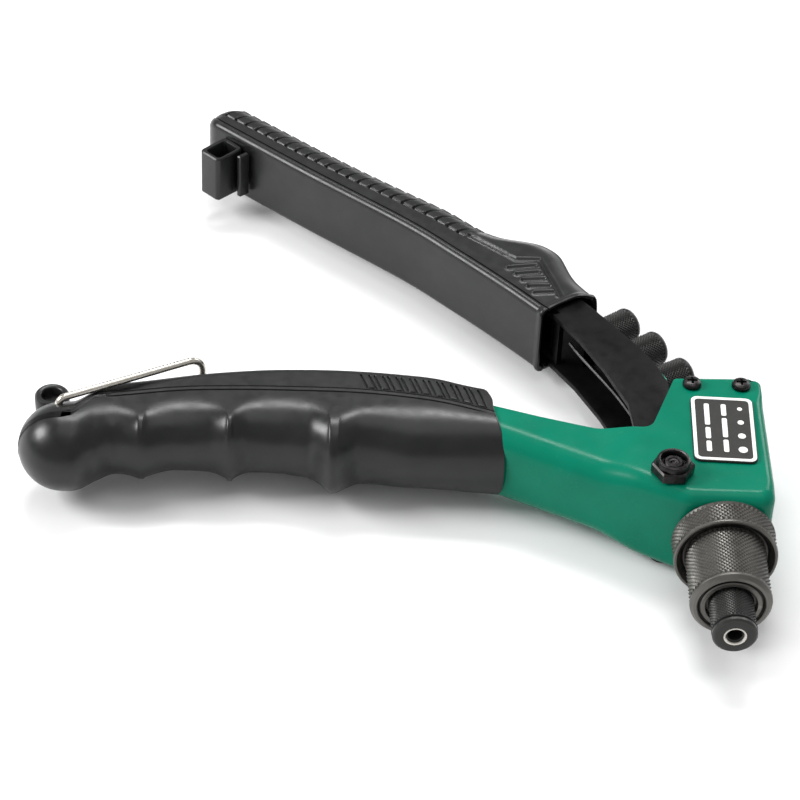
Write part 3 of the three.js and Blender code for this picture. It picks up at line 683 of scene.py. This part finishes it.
def nose():
    knurled(
        "collar_ring_knurled",
        [(10.1, -0.2), (14.2, -0.2), (14.7, -0.5), (14.95, -0.9)],
        (15.0, -1.1, -8.5, 1.5, 0.42),
        [(14.95, -8.7), (14.9, -9.0), (14.6, -9.3), (14.1, -9.3), (13.85, -9.1), (12.5, -7.5), (12.2, -7.3),
         (10.1, -7.3), (10.1, -0.2)],
        KNURL, "collar", "collar_ring",
    )
    knurled(
        "front_sleeve_knurled",
        [(8.5, 3.6), (9.7, 3.6), (9.7, -7.6), (11.3, -7.6), (11.6, -7.9)],
        (11.7, -8.1, -26.6, 1.4, 0.36),
        [(11.7, -26.9), (11.6, -27.3), (10.7, -28.2), (9.9, -28.4), (9.6, -28.2), (9.5, -27.6), (9.2, -27.4),
         (8.9, -27.5), (8.8, -28.0), (8.5, -28.2), (7.5, -28.2), (7.3, -28.0), (7.2, -26.6), (5.0, -26.6),
         (5.0, -23.8), (8.5, -23.8), (8.5, 3.6)],
        KNURL, "sleeve", "front_sleeve",
    )
    knurled(
        "nosepiece_knurled",
        [(2.0, -23.4), (4.6, -23.4), (4.7, -23.6), (4.7, -27.0), (5.8, -27.0), (6.4, -27.3)],
        (6.5, -27.5, -38.0, 1.1, 0.26),
        [(6.4, -38.1), (6.0, -38.3), (6.0, -38.6), (6.4, -38.8), (6.4, -39.6), (5.9, -40.1), (5.2, -40.3),
         (3.3, -40.3), (2.9, -40.2), (2.1, -39.5), (2.0, -39.2), (2.0, -23.4)],
        KNURL_DARK, "nose", "nosepiece",
    )
    ring = [(3.25, -40.34), (2.75, -40.28), (2.55, -40.05), (2.5, -39.6), (2.8, -39.6), (3.2, -40.2),
            (3.25, -40.34)]
    points, faces = skin(turned_rings(ring, 64), capped=False)
    sharpen(mesh_piece("nosepiece_bore_rim", points, faces, STEEL, "nose"))


def spare_nosepieces():
    feet = [(-32.3, 89.6), (-24.6, 78.9), (-17.3, 66.9)]
    directions = [37, 34, 31]
    stand, length, radius = 2.55, 11.6, 5.4
    for k, (foot, degrees) in enumerate(zip(feet, directions)):
        angle = math.radians(degrees)
        turn = Matrix.Rotation(angle - HALF_PI, 4, "Z")
        matrix = Matrix.Translation((foot[0], foot[1], 0)) @ turn
        bore = 1.5 + 0.2 * k
        top = stand + length
        knurled(
            f"spare_nosepiece_{k + 1}_knurled",
            [(bore, stand - 1.7), (3.7, stand - 1.7), (3.7, stand), (5.0, stand), (5.35, stand + 0.3)],
            (radius, stand + 0.5, top - 1.6, 1.1, 0.24),
            [(5.38, top - 1.5), (5.38, top - 1.0), (4.9, top - 0.3), (4.0, top), (bore + 0.8, top),
             (bore, top - 0.7), (bore, stand - 1.7)],
            KNURL_DARK, f"spare_{k + 1}", f"spare_nosepiece_{k + 1}", matrix,
        )


# ------------------------------------------------------------------ fixed grip
# Stations s run along the grip: the distance to the nose axis, from the mouth to the round end.
GRIP_MOUTH, GRIP_TIP, BULB_RADIUS, BULB_Y = 62.5, 206.0, 13.2, 30.8
grip_back = curve([(62, 49), (72, 51.4), (95, 54.9), (120, 56.4), (135, 56.2), (150, 54.6), (170, 50.6),
                   (190, 45.4)])
grip_half = curve([(62, 13.9), (84, 13.8), (110, 13.4), (150, 12), (176, 11.7), (190, 13.2)])


# The front edge in plan: a finger hollow between each pair of ridges.
grip_front = profile([(62, 24.0), (90, 24.4), (104.5, 26.6), (113, 21.6), (121, 27.4), (129, 28.4), (138, 28.9),
                      (143.7, 26.3), (150, 28.1), (160, 27.7), (169.7, 24.7), (177, 26.0), (183, 24.2),
                      (192, 17.8)])


def shoulder(s):
    """Where the flat side starts to fall away: an arch over each finger, with a ridge between two arches."""
    first_low, first_high, first_start, first_top, first_end, peak = 58, 111.6, 35.5, 40.4, 33.6, 0.55
    t = (s - first_low) / (first_high - first_low)
    if t < peak:
        return lerp(first_start, first_top, smooth(t, 0, peak))
    if t <= 1:
        return lerp(first_end, first_top, math.sqrt(max(0.0, 1 - ((t - peak) / (1 - peak)) ** 2)))
    for low, high, top, end in [(114.4, 143, 43.2, 33.8), (144.4, 169, 42.2, 33.6), (170.4, 193, 38.4, 33)]:
        if low <= s <= high:
            t = (s - low) / (high - low)
            return end + (top - end) * math.sqrt(max(0.0, 1 - (2 * t - 1) ** 2))
    return 33.7


# The long groove on each flat side.
groove_line = curve([(62, 35.4), (70, 38), (86, 41.6), (102, 43.8), (123, 44.9), (144, 45.3), (165, 43.9),
                     (182, 39.8), (193, 35.6)])


def fixed_grip():
    end_angles = np.linspace(0.0, HALF_PI * 0.985, 40)
    stations = np.concatenate([
        np.linspace(GRIP_MOUTH, 112, 240), np.linspace(112.3, 190, 230),
        GRIP_TIP - BULB_RADIUS * (1 - np.sin(end_angles)),
    ])
    rings = []
    for s in stations:
        upper = grip_section(s)
        rings.append(upper + [(x, y, -z) for x, y, z in reversed(upper[1:-1])])
    mouth = rings[0]
    middle = np.mean(np.array(mouth), axis=0)
    lip = [[tuple(middle + (np.array(p) - middle) * scale + np.array((shift, 0, 0))) for p in mouth]
           for scale, shift in ((0.9, -5.0), (0.91, -0.5), (0.97, 0.35), (0.99, 0.3))]
    points, faces = skin(lip + rings)
    grip = mesh_piece("fixed_grip_moulding", points, faces, GRIP, "body", ["fixed_grip"])
    sharpen(grip, 50)
    eye()


def grip_section(s):
    """Upper half of the grip's section at station s, from the front edge to the back edge."""
    front_count, gap_count, strip_count, back_count = 34, 7, 40, 12
    bulb = smooth(s, 178, 192)
    beyond = max(0.0, s - (GRIP_TIP - BULB_RADIUS)) / BULB_RADIUS
    round_radius = BULB_RADIUS * math.sqrt(max(0.0, 1 - beyond ** 2))
    half = lerp(grip_half(s), round_radius, bulb)
    front = lerp(grip_front(s), BULB_Y - round_radius, bulb)
    back = lerp(grip_back(s), BULB_Y + round_radius, bulb)
    edge = lerp(shoulder(s), (front + back) / 2, bulb)
    corner = lerp(3.6, back - edge, bulb)
    line = min(groove_line(s), back - corner - 1.2)
    power = lerp(2.3, 2.0, bulb)
    section = []
    for k in range(front_count + 1):
        angle = HALF_PI * k / front_count
        y = edge - (edge - front) * squircle(math.cos(angle), power)
        section.append((y, half * squircle(math.sin(angle), power)))
    flat_end = back - corner
    double_line = [(-0.75, 0), (-0.5, -0.45), (-0.2, -0.45), (0, -0.05), (0.9, -0.02), (1.1, -0.3),
                   (1.35, -0.3), (1.55, 0)]
    groove_depth = 1 - smooth(s, 176, 188)
    spots = [lerp(edge, line - 0.75, k / gap_count) for k in range(1, gap_count)]
    section += [(y, half) for y in spots]
    section += [(line + dy, half + dz * groove_depth) for dy, dz in double_line]
    start = line + double_line[-1][0]
    strip = [lerp(start, flat_end, k / strip_count) for k in range(1, strip_count)]
    section += [(y, half - rib_depth(grip_reach(s, y), y, line, flat_end + 1.5)) for y in strip]
    for k in range(back_count + 1):
        angle = HALF_PI * k / back_count
        soft_corner, round_end = half - corner * (1 - math.cos(angle)), half * math.cos(angle)
        section.append((flat_end + corner * math.sin(angle), lerp(soft_corner, round_end, bulb)))
    section.append((back, 0.0))
    return [(-grip_reach(s, y), y, z) for y, z in section]


# How much further back the grip's mouth stands at each y.
mouth_shear = profile([(20, 0), (41, 4.2), (53, 8.4), (62, 10.5)])


def grip_reach(s, y):
    """How far from the nose axis a point of station s lies: the mouth slants, the rest is square."""
    return s + mouth_shear(y) * (1 - smooth(s, GRIP_MOUTH, 88))


def rib_depth(reach, y, low, high):
    """Depth of the outlines of nine slanted slots on the rear strip near the mouth."""
    pitch, slots, width, first, slant, margin = 4.05, 9, 0.42, 67.6, 2.9, 1.6
    across = (y - low - margin) / max(0.1, high - low - margin)
    if not 0.0 < across < 1.0:
        return 0.0
    where = (reach - first - slant * across) / pitch
    number = math.floor(where)
    if not 0 <= number < slots:
        return 0.0
    offset = abs((where - number) - 0.5) * pitch
    side = abs(offset - 1.25)
    foot = min(across, 1 - across) * (high - low)
    line = min(side, abs(foot - 0.5)) if offset < 1.25 else side
    return 0.55 * (1 - smooth(line, 0.15, width)) * smooth(foot, 0.1, 0.5)


def eye():
    centre = (-197.8, 49.8)
    outline = [(3.1, -3.6), (3.3, -4.0), (4.7, -4.0), (5.2, -3.4), (5.2, 3.4), (4.7, 4.0), (3.5, 4.0),
               (3.1, 3.6), (3.1, -3.6)]
    points, faces = skin(turned_rings(outline, 56), capped=False)
    sharpen(mesh_piece("lanyard_eye_ring", stood_up(points, centre), faces, GRIP, "body"), 50)
    corners = [(-189.5, 36), (-188.5, 46.5), (-194.2, 47.2), (-201.5, 44), (-203, 36)]
    neck = rounded(corners, [0.5, 3, 1, 3, 0.5], closed=True)
    points, faces = prism(neck, -3.7, 3.7, 0.8)
    sharpen(mesh_piece("lanyard_eye_foot", points, faces, GRIP, "body"), 50)


def wire_bail():
    half, hinge, corner = 13.8, Vector((-194.3, 36)), Vector((-153.2, 57.2))
    foot, foot_bend, bend = 5, 2.6, 4.5
    length = (corner - hinge).length
    path = rounded(
        [(0, half - foot), (0, half), (length, half), (length, -half), (0, -half), (0, foot - half)],
        [0, foot_bend, bend, bend, foot_bend, 0], steps=12,
    )
    run = (corner - hinge).normalized()
    wire = [(hinge.x + run.x * reach, hinge.y + run.y * reach, z) for reach, z in path]
    points, faces = skin(wire_rings(wire, 1.1, 24))
    sharpen(mesh_piece("wire_bail_nickel", points, faces, NICKEL, "bail", ["wire_bail"]), 60)


# ------------------------------------------------------------------ lever
# The grip's inner wall in plan. Stations s run along it from the mouth, and u runs outwards from it.
LEVER_INNER = [(-50.3, 87.2), (-62.7, 100.7), (-78.1, 116.3), (-94, 131.4), (-126.9, 158.1), (-162.4, 188.2)]
LEVER_HALF = 12.0
lever_width = curve([(0, 21.6), (8, 22.8), (20, 28.6), (25, 28.4), (38, 21), (60, 18.8), (141, 16.4)])


def lever_grip():
    count = 470
    line = spline(LEVER_INNER, count)
    tangent = np.gradient(line, axis=0)
    tangent /= np.linalg.norm(tangent, axis=1, keepdims=True)
    outward = np.stack([tangent[:, 1], -tangent[:, 0]], axis=1)
    total = float(np.sum(np.linalg.norm(np.diff(line, axis=0), axis=1)))
    rings = []
    for k in range(count):
        s = total * k / (count - 1)
        upper = lever_section(s, total)
        ring = []
        for u, z in upper + [(u, -z) for u, z in reversed(upper[1:-1])]:
            bowed = -3.0 * (u / 22) ** 2 * (1 - smooth(s, 0, 16))
            x, y = line[k] + outward[k] * u + tangent[k] * bowed
            ring.append((x, y, z))
        rings.append(ring)
    mouth = np.array(rings[0])
    middle = mouth.mean(axis=0)
    back = np.array((tangent[0][0], tangent[0][1], 0))
    lip = [[tuple(middle + (p - middle) * scale + back * shift) for p in mouth]
           for scale, shift in ((0.5, 14), (0.86, 14), (0.87, 0.4), (0.93, -0.5), (0.985, -0.45))]
    points, faces = skin(lip + rings)
    grip = mesh_piece("lever_grip_moulding", points, faces, GRIP, "lever", ["lever_grip"])
    sharpen(grip, 50)


def lever_section(s, total):
    """Upper half of the lever grip's section, from the inner wall to the outer edge."""
    end_radius, inner_round, outer_round, sink = 8.5, 2.3, 1.8, 0.15
    corner_steps, flat_steps, rim_steps = 8, 60, 12
    past = max(0.0, s - (total - end_radius)) / end_radius
    shrink = math.sqrt(max(0.0, 1 - past ** 2))
    full = lever_width(s)
    width = full * (0.1 + 0.9 * shrink)
    half = LEVER_HALF * (0.2 + 0.8 * shrink)
    offset = (full - width) * 0.72
    flare = 0.5 * (1 - smooth(s, 0.3, 2.2))
    section = [(0.0, 0.0), (0.0, half * 0.4)]
    for k in range(corner_steps + 1):
        angle = HALF_PI * k / corner_steps
        section.append((inner_round * (1 - math.cos(angle)), half - inner_round * (1 - math.sin(angle))))
    line = [(2.5, -0.1), (2.62, -0.6), (2.95, -0.6), (3.1, -sink)]
    section += [(u, half + dz) for u, dz in line]
    for k in range(1, flat_steps + 1):
        t = k / flat_steps
        u = lerp(line[-1][0], width - outer_round, t)
        z = half - sink + 0.1 * smooth(t, 0, 0.2)
        z -= 3.5 * smooth(u, width - 9.5, width + 1) ** 1.5
        z += chevron(s, u, width, total) + thumb_rest(s, u)
        section.append((u, z))
    end_z = section[-1][1]
    for k in range(1, rim_steps + 1):
        angle = HALF_PI * k / rim_steps
        u = width - outer_round + outer_round * math.sin(angle) ** 0.8
        section.append((u, end_z * math.cos(angle) ** 0.8))
    section[-1] = (width, 0.0)
    middle = width / 2
    grow = 1 + 2 * flare / width
    return [(offset + middle + (u - middle) * grow, z * (1 + flare / half)) for u, z in section]


def groove(distance, width, depth):
    """Height across a groove whose centre line is at the given distance."""
    return -depth * (1 - smooth(distance, width * 0.3, width))


def chevron(s, u, width, total):
    """A row of overlapping leaves along the outer part of the flat side."""
    start, end, pitch, row_width = 42, total - 4, 4.45, 10.2
    low = width - row_width
    if not start < s < end or u < low - 0.4:
        return 0.0
    across = min(1.0, max(0.0, (u - low) / (row_width - 1)))
    phase = (s - start) / pitch + 0.15 * across + 0.95 * across ** 2.2
    part = phase % 1.0
    ends = smooth(s, start, start + 2) * (1 - smooth(s, end - 3, end))
    leaf = 0.35 * part + groove(min(part, 1 - part) * pitch, 0.65, 0.9)
    inner = groove(abs(u - low), 0.45, 0.35)
    return (leaf * smooth(u, low, low + 0.5) + inner) * ends


# Both ends, as (s, u), of each groove on the thumb rest.
THUMB_LINES = [
    ((24.0, 12.8), (19.3, 18.1)), ((19.3, 18.1), (2.8, 10.0)),
    ((22.4, 7.9), (17.8, 14.9)), ((18.6, 7.6), (14.9, 13.4)), ((15.2, 6.9), (11.6, 12.2)),
    ((11.7, 6.1), (8.2, 11.0)), ((8.3, 5.3), (5.4, 9.8)), ((24.0, 12.8), (42.5, 10.9)),
]


def thumb_rest(s, u):
    """Slanted grooves under an arrow-shaped groove on the thumb rest."""
    if not 1.5 < s < 44:
        return 0.0
    nearest = math.inf
    for (s0, u0), (s1, u1) in THUMB_LINES:
        ds, du = s1 - s0, u1 - u0
        t = min(1.0, max(0.0, ((s - s0) * ds + (u - u0) * du) / (ds * ds + du * du)))
        nearest = min(nearest, math.hypot(s - s0 - t * ds, u - u0 - t * du))
    return groove(nearest, 0.95, 0.85) + 0.2 * smooth(1.6 - nearest, 0, 0.5)


def latch_block():
    corners = [(-161, 172.4), (-154.6, 166.4), (-146.6, 174.2), (-152.9, 180.6)]
    hole = [(-158.6, 172.3), (-154.4, 168.2), (-148.7, 174), (-152.9, 178.1)]
    outer = rounded(corners, [1.5] * 4, closed=True, steps=6)
    inner = rounded(hole, [0.9] * 4, closed=True, steps=6)
    low, high, soft = -8.0, 8.6, 0.4
    rings = [
        [(x, y, low + soft) for x, y in outer], [(x, y, high - soft) for x, y in outer],
        [(x, y, high) for x, y in inset(outer, 0.35)], [(x, y, high) for x, y in inset(inner, -0.3)],
        [(x, y, high - soft) for x, y in inner], [(x, y, low + soft) for x, y in inner],
        [(x, y, low) for x, y in inset(inner, -0.3)], [(x, y, low) for x, y in inset(outer, 0.35)],
    ]
    rings.append(rings[0])
    points, faces = skin(rings, capped=False)
    sharpen(mesh_piece("latch_block_tube", points, faces, GRIP, "lever"), 40)
    rib_corners = [(-148.6, 170.2), (-145.6, 172.9), (-144.4, 171.7), (-147.3, 169.2)]
    rib = rounded(rib_corners, [0.4] * 4, closed=True, steps=4)
    points, faces = prism(rib, -8, 8.2, 0.3)
    sharpen(mesh_piece("latch_block_rib", points, faces, GRIP, "lever"), 40)


def softened(name, node, material, width):
    """A finer copy of a CAD piece with its edges rounded."""
    source = frame["nodes"][node]
    mesh = source.data.copy()
    piece = bpy.data.objects.new(name, mesh)
    bpy.context.scene.collection.objects.link(piece)
    bm = bmesh.new()
    bm.from_mesh(mesh)
    bmesh.ops.remove_doubles(bm, verts=bm.verts, dist=1e-6)
    bmesh.ops.dissolve_limit(bm, angle_limit=math.radians(1.5), verts=bm.verts, edges=bm.edges)
    bm.to_mesh(mesh)
    bm.free()
    modify(piece, "BEVEL", width=width * MM, segments=2, limit_method="ANGLE", angle_limit=math.radians(30))
    sharpen(dress(piece, material, source["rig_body"], [node]), 40)


def springs():
    turns, per_turn, wire_radius = 4, 24, 0.5
    radius, foot, rise = 5.25, -4.4, 2.1
    coil = []
    for k in range(turns * per_turn + 7):
        angle = -HALF_PI + 2 * math.pi * k / per_turn
        x, y = PIVOT[0] + radius * math.cos(angle), PIVOT[1] + radius * math.sin(angle)
        coil.append((x, y, foot + rise * k / per_turn))
    stops = [(-13.4, 20, 4.8), (-22, 42, 4.8), (-28.4, 57, 4.8), (-38.1, 74.6, 4.8), (-41.2, 81, 4.8)]
    leg = [tuple(p) for p in spline([coil[-1], *stops], 90)]
    points, faces = skin(wire_rings(coil[:-1] + leg, wire_radius))
    spring = mesh_piece("return_spring_wire", points, faces, DARK, "lever", ["return_spring"])
    sharpen(spring, 60)
    coil = []
    radius, front, rear = 4.4, -9.2, -2.8
    for k in range(turns * per_turn + 1):
        angle = 2 * math.pi * k / per_turn
        y = lerp(front, rear, k / (turns * per_turn))
        coil.append((radius * math.cos(angle), y, radius * math.sin(angle)))
    points, faces = skin(wire_rings(coil, wire_radius))
    spring = mesh_piece("pusher_spring_wire", points, faces, STEEL, "carriage",
                        ["pusher_spring"])
    sharpen(spring, 60)


# ------------------------------------------------------------------ finer copies of CAD pieces
def inner_pieces():
    for node, material, slot in (
        ("jaw_case", DARK, "dark_steel"), ("jaw_1", DARK, "dark_steel"), ("jaw_2", DARK, "dark_steel"),
        ("jaw_3", DARK, "dark_steel"), ("jaw_pusher", STEEL, "bright_steel"),
        ("pull_rod", STEEL, "dark_steel"),
        ("case_lock_ring", DARK, "dark_steel"), ("nose_nut_plate", DARK, "dark_steel"),
        ("pivot_bush", STEEL, "bright_steel"), ("pivot_washer_upper", STEEL, "bright_steel"),
        ("pivot_washer_lower", STEEL, "bright_steel"),
    ):
        softened(node + "_fine", node, material, width=0.12)
    softened("lever_channel_pressed", "lever_channel", PAINT, width=0.3)
    # The strip's lighter green is a painted highlight on its green paint.
    softened("holder_strip_highlit_green", "holder_strip", HIGHLIT_GREEN, width=0.25)


# ------------------------------------------------------------------ stage
def area_light(name, where, target, size, power):
    data = bpy.data.lights.new(name, "AREA")
    data.shape = "RECTANGLE"
    data.size, data.size_y = size
    data.energy = power
    light = bpy.data.objects.new(name, data)
    bpy.context.scene.collection.objects.link(light)
    light.location = where
    light.rotation_euler = (Vector(target) - Vector(where)).to_track_quat("-Z", "Y").to_euler()


def stage():
    mesh = bpy.data.meshes.new("floor")
    reach = 3.0
    corners = [(-reach, -reach, 0), (reach, -reach, 0), (reach, reach, 0), (-reach, reach, 0)]
    mesh.from_pydata(corners, [], [(0, 1, 2, 3)])
    floor = bpy.data.objects.new("floor", mesh)
    bpy.context.scene.collection.objects.link(floor)
    n = Nodes("pale_floor")
    color = n.ramp(n.noise(60, 2), [(0.3, (0.86, 0.86, 0.865)), (0.7, (0.88, 0.88, 0.885))])
    floor.data.materials.append(n.finish(color, n.grey(n.noise(20), 0.5, 0.6), [(n.noise(2), 0.01)]))
    world = bpy.data.worlds.new("studio")
    bpy.context.scene.world = world
    world.use_nodes = True
    background = world.node_tree.nodes["Background"]
    background.inputs["Color"].default_value = (1, 1, 1, 1)
    background.inputs["Strength"].default_value = 0.5
    middle = place(-92, 78, 0)
    for name, where, size, power in (
        ("softbox_left", (-0.84, -0.05, 0.58), (0.42, 0.4), 9.5),
        ("softbox_back", (0.0, 0.46, 0.95), (0.6, 0.2), 6.5),
        ("softbox_right", (0.62, 0.7, 0.5), (0.3, 0.4), 2.4),
        ("softbox_top", (0.1, -0.15, 1.1), (0.7, 0.7), 2.0),
    ):
        area_light(name, middle + Vector(where), middle, size, power)


def camera():
    """A long lens that looks down on the tool from the front."""
    elevation, yaw, roll = math.radians(40.04), math.radians(-1.54), math.radians(2.84)
    distance, lens = 0.875, 126.0
    data = bpy.data.cameras.new("camera")
    data.lens, data.sensor_width = lens, 36.0
    data.clip_end = 20
    cam = bpy.data.objects.new("camera", data)
    bpy.context.scene.collection.objects.link(cam)
    level = Vector((-math.sin(yaw), math.cos(yaw), 0)) * math.cos(elevation)
    forward = level - Vector((0, 0, math.sin(elevation)))
    right = Vector((math.cos(yaw), math.sin(yaw), 0))
    up = right.cross(forward)
    side = right * math.cos(roll) + up * math.sin(roll)
    top = up * math.cos(roll) - right * math.sin(roll)
    position = place(-92.9, 77.4, -17.2) - forward * distance
    basis = Matrix((side, top, -forward)).transposed()
    cam.matrix_world = Matrix.Translation(position) @ basis.to_4x4()
    bpy.context.scene.camera = cam
    bpy.context.scene.view_settings.view_transform = "Standard"


camera()
stage()
body_shell()
label()
pivot_parts()
cover_screws()
rear_plug()
nose()
spare_nosepieces()
fixed_grip()
wire_bail()
lever_grip()
latch_block()
springs()
inner_pieces()
